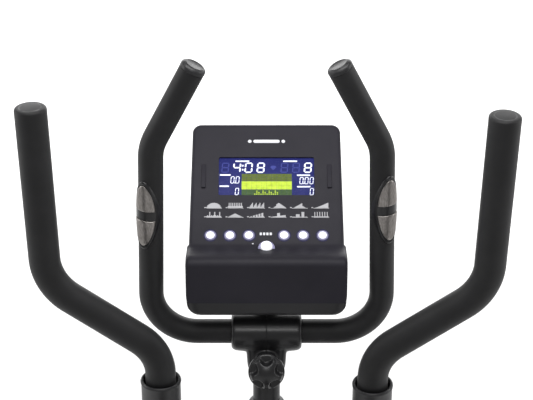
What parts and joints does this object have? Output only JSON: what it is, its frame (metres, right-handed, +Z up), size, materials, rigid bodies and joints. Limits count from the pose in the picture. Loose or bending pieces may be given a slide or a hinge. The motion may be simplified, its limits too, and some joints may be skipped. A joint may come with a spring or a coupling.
{
  "type": "elliptical trainer",
  "caption": "Rear-drive elliptical trainer with swing arms, fixed U handlebar with pulse sensors, and a console on a mast.",
  "frame": {"origin": "on the floor, below the middle of the machine's length and width", "axes": "+X is the user's right, +Y points to the front of the machine, away from the user, +Z is up"},
  "size_m": [0.623, 1.2999, 1.6581],
  "materials": {
    "steel_black": "satin powder coat",
    "steel_bright": "brushed",
    "cast_iron": "turned",
    "plastic_black": "fine texture",
    "plastic_grey": "fine texture",
    "foam": "closed-cell foam",
    "rubber": "matte",
    "lens": "clear",
    "display": "lit display",
    "board": "solder mask",
    "lit_white": "lit keys"
  },
  "bodies": {
    "frame": {"main_frame": "steel_black", "front_stabilizer": "steel_black", "rear_stabilizer": "steel_black", "stabilizer_caps": "rubber", "frame_bolts": "steel_bright", "lower_mast": "steel_black", "handlebar_post": "steel_black", "clamp_band": "steel_black", "clamp_covers": "plastic_black", "mast_cover": "plastic_black", "pivot_axle": "steel_bright", "console_back": "plastic_black", "console_front": "plastic_grey", "lcd_panel": "display", "display_lens": "lens", "circuit_board": "board", "mast_cable": "rubber", "shroud_left": "plastic_black", "shroud_right": "plastic_black", "bearings": "steel_bright", "drive_belt": "rubber", "flywheel_axle": "steel_bright", "brake_servo": "plastic_black"},
    "crank": {"crank_axle": "steel_bright", "crank_arms": "steel_black", "crank_discs": "plastic_black", "drive_pulley": "plastic_black"},
    "flywheel": {"flywheel": "cast_iron"},
    "idler": {"idler_pulley": "plastic_black"},
    "brake": {"brake_bracket": "cast_iron"},
    "handlebar": {"handlebar_tube": "steel_black", "foam_grips": "foam", "pulse_bases": "plastic_black", "pulse_plates": "steel_bright", "handlebar_plugs": "plastic_black"},
    "knob": {"clamp_knob": "plastic_black"},
    "dial_press": {"dial_stem": "steel_bright"},
    "dial": {"dial_cap": "lit_white"},
    "arm_left": {"swing_arm_left": "steel_black", "arm_fittings_left": "plastic_black", "handle_tube_left": "steel_black", "handle_grip_left": "foam", "lower_pin_left": "steel_bright"},
    "pedal_left": {"pedal_bar_left": "steel_black", "pedal_left": "plastic_black"},
    "wheel_left": {"transport_wheel_left": "rubber"},
    "arm_right": {"swing_arm_right": "steel_black", "arm_fittings_right": "plastic_black", "handle_tube_right": "steel_black", "handle_grip_right": "foam", "lower_pin_right": "steel_bright"},
    "pedal_right": {"pedal_bar_right": "steel_black", "pedal_right": "plastic_black"},
    "wheel_right": {"transport_wheel_right": "rubber"},
    "button_1": {"button_1": "lit_white"},
    "button_2": {"button_2": "lit_white"},
    "button_3": {"button_3": "lit_white"},
    "button_4": {"button_4": "lit_white"},
    "button_5": {"button_5": "lit_white"},
    "button_6": {"button_6": "lit_white"}
  },
  "joints": [
    {"name": "crank_turn", "type": "hinge", "parent": "frame", "child": "crank", "pos_m": [0, -0.375, 0.33], "axis": [-1, 0, 0], "range_deg": [-4, 86]},
    {"name": "flywheel_spin", "type": "hinge", "parent": "frame", "child": "flywheel", "pos_m": [0, -0.16, 0.262], "axis": [-1, 0, 0], "range_deg": [-30, 610]},
    {"name": "idler_spin", "type": "hinge", "parent": "frame", "child": "idler", "pos_m": [0, -0.24176, 0.1972], "axis": [-1, 0, 0], "range_deg": [-690, 34]},
    {"name": "brake_swing", "type": "hinge", "parent": "frame", "child": "brake", "pos_m": [0, -0.014, 0.15], "axis": [-1, 0, 0], "range_deg": [0, 4]},
    {"name": "arm_swing_left", "type": "hinge", "parent": "frame", "child": "arm_left", "pos_m": [0, 0.36, 0.96], "axis": [-1, 0, 0], "range_deg": [-15.1, 0.71]},
    {"name": "pedal_bar_swing_left", "type": "hinge", "parent": "arm_left", "child": "pedal_left", "pos_m": [0, 0.35553, 0.21501], "axis": [-1, 0, 0], "range_deg": [-0.05, 0.96]},
    {"name": "wheel_roll_left", "type": "hinge", "parent": "frame", "child": "wheel_left", "pos_m": [-0.225, 0.623, 0.036], "axis": [1, 0, 0], "continuous": true},
    {"name": "arm_swing_right", "type": "hinge", "parent": "frame", "child": "arm_right", "pos_m": [0, 0.36, 0.96], "axis": [-1, 0, 0], "range_deg": [-0.56, 11.94]},
    {"name": "pedal_bar_swing_right", "type": "hinge", "parent": "arm_right", "child": "pedal_right", "pos_m": [0, 0.38253, 0.21534], "axis": [-1, 0, 0], "range_deg": [-0.894, 0.051]},
    {"name": "wheel_roll_right", "type": "hinge", "parent": "frame", "child": "wheel_right", "pos_m": [0.225, 0.623, 0.036], "axis": [1, 0, 0], "continuous": true},
    {"name": "handlebar_tilt", "type": "hinge", "parent": "frame", "child": "handlebar", "pos_m": [0, 0.39, 1.2625], "axis": [1, 0, 0], "range_deg": [-8, 11]},
    {"name": "knob_turn", "type": "hinge", "parent": "frame", "child": "knob", "pos_m": [0, 0.34, 1.2225], "axis": [0, 1, 0], "continuous": true},
    {"name": "button_press_1", "type": "slide", "parent": "frame", "child": "button_1", "axis": [0, 0.7254, -0.6884], "range_m": [0, 0.001], "stiffness_N_per_m": 400, "springref_m": -0.001},
    {"name": "button_press_2", "type": "slide", "parent": "frame", "child": "button_2", "axis": [0, 0.7254, -0.6884], "range_m": [0, 0.001], "stiffness_N_per_m": 400, "springref_m": -0.001},
    {"name": "button_press_3", "type": "slide", "parent": "frame", "child": "button_3", "axis": [0, 0.7254, -0.6884], "range_m": [0, 0.001], "stiffness_N_per_m": 400, "springref_m": -0.001},
    {"name": "button_press_4", "type": "slide", "parent": "frame", "child": "button_4", "axis": [0, 0.7254, -0.6884], "range_m": [0, 0.001], "stiffness_N_per_m": 400, "springref_m": -0.001},
    {"name": "button_press_5", "type": "slide", "parent": "frame", "child": "button_5", "axis": [0, 0.7254, -0.6884], "range_m": [0, 0.001], "stiffness_N_per_m": 400, "springref_m": -0.001},
    {"name": "button_press_6", "type": "slide", "parent": "frame", "child": "button_6", "axis": [0, 0.7254, -0.6884], "range_m": [0, 0.001], "stiffness_N_per_m": 400, "springref_m": -0.001},
    {"name": "dial_push", "type": "slide", "parent": "frame", "child": "dial_press", "axis": [0, 0.7254, -0.6884], "range_m": [0, 0.0008], "stiffness_N_per_m": 600, "springref_m": -0.001},
    {"name": "dial_turn", "type": "hinge", "parent": "dial_press", "child": "dial", "pos_m": [0, 0.3878, 1.38168], "axis": [0, -0.7254, 0.6884], "continuous": true}
  ],
  "couplings": [
    {"joint": "flywheel_spin", "follows": "crank_turn", "ratio": 7},
    {"joint": "idler_spin", "follows": "crank_turn", "ratio": -7.9889},
    {"joint": "arm_swing_left", "follows": "crank_turn", "ratio": -0.1755},
    {"joint": "pedal_bar_swing_left", "follows": "crank_turn", "ratio": 0.011002},
    {"joint": "arm_swing_right", "follows": "crank_turn", "ratio": 0.13877},
    {"joint": "pedal_bar_swing_right", "follows": "crank_turn", "ratio": -0.010276}
  ]
}
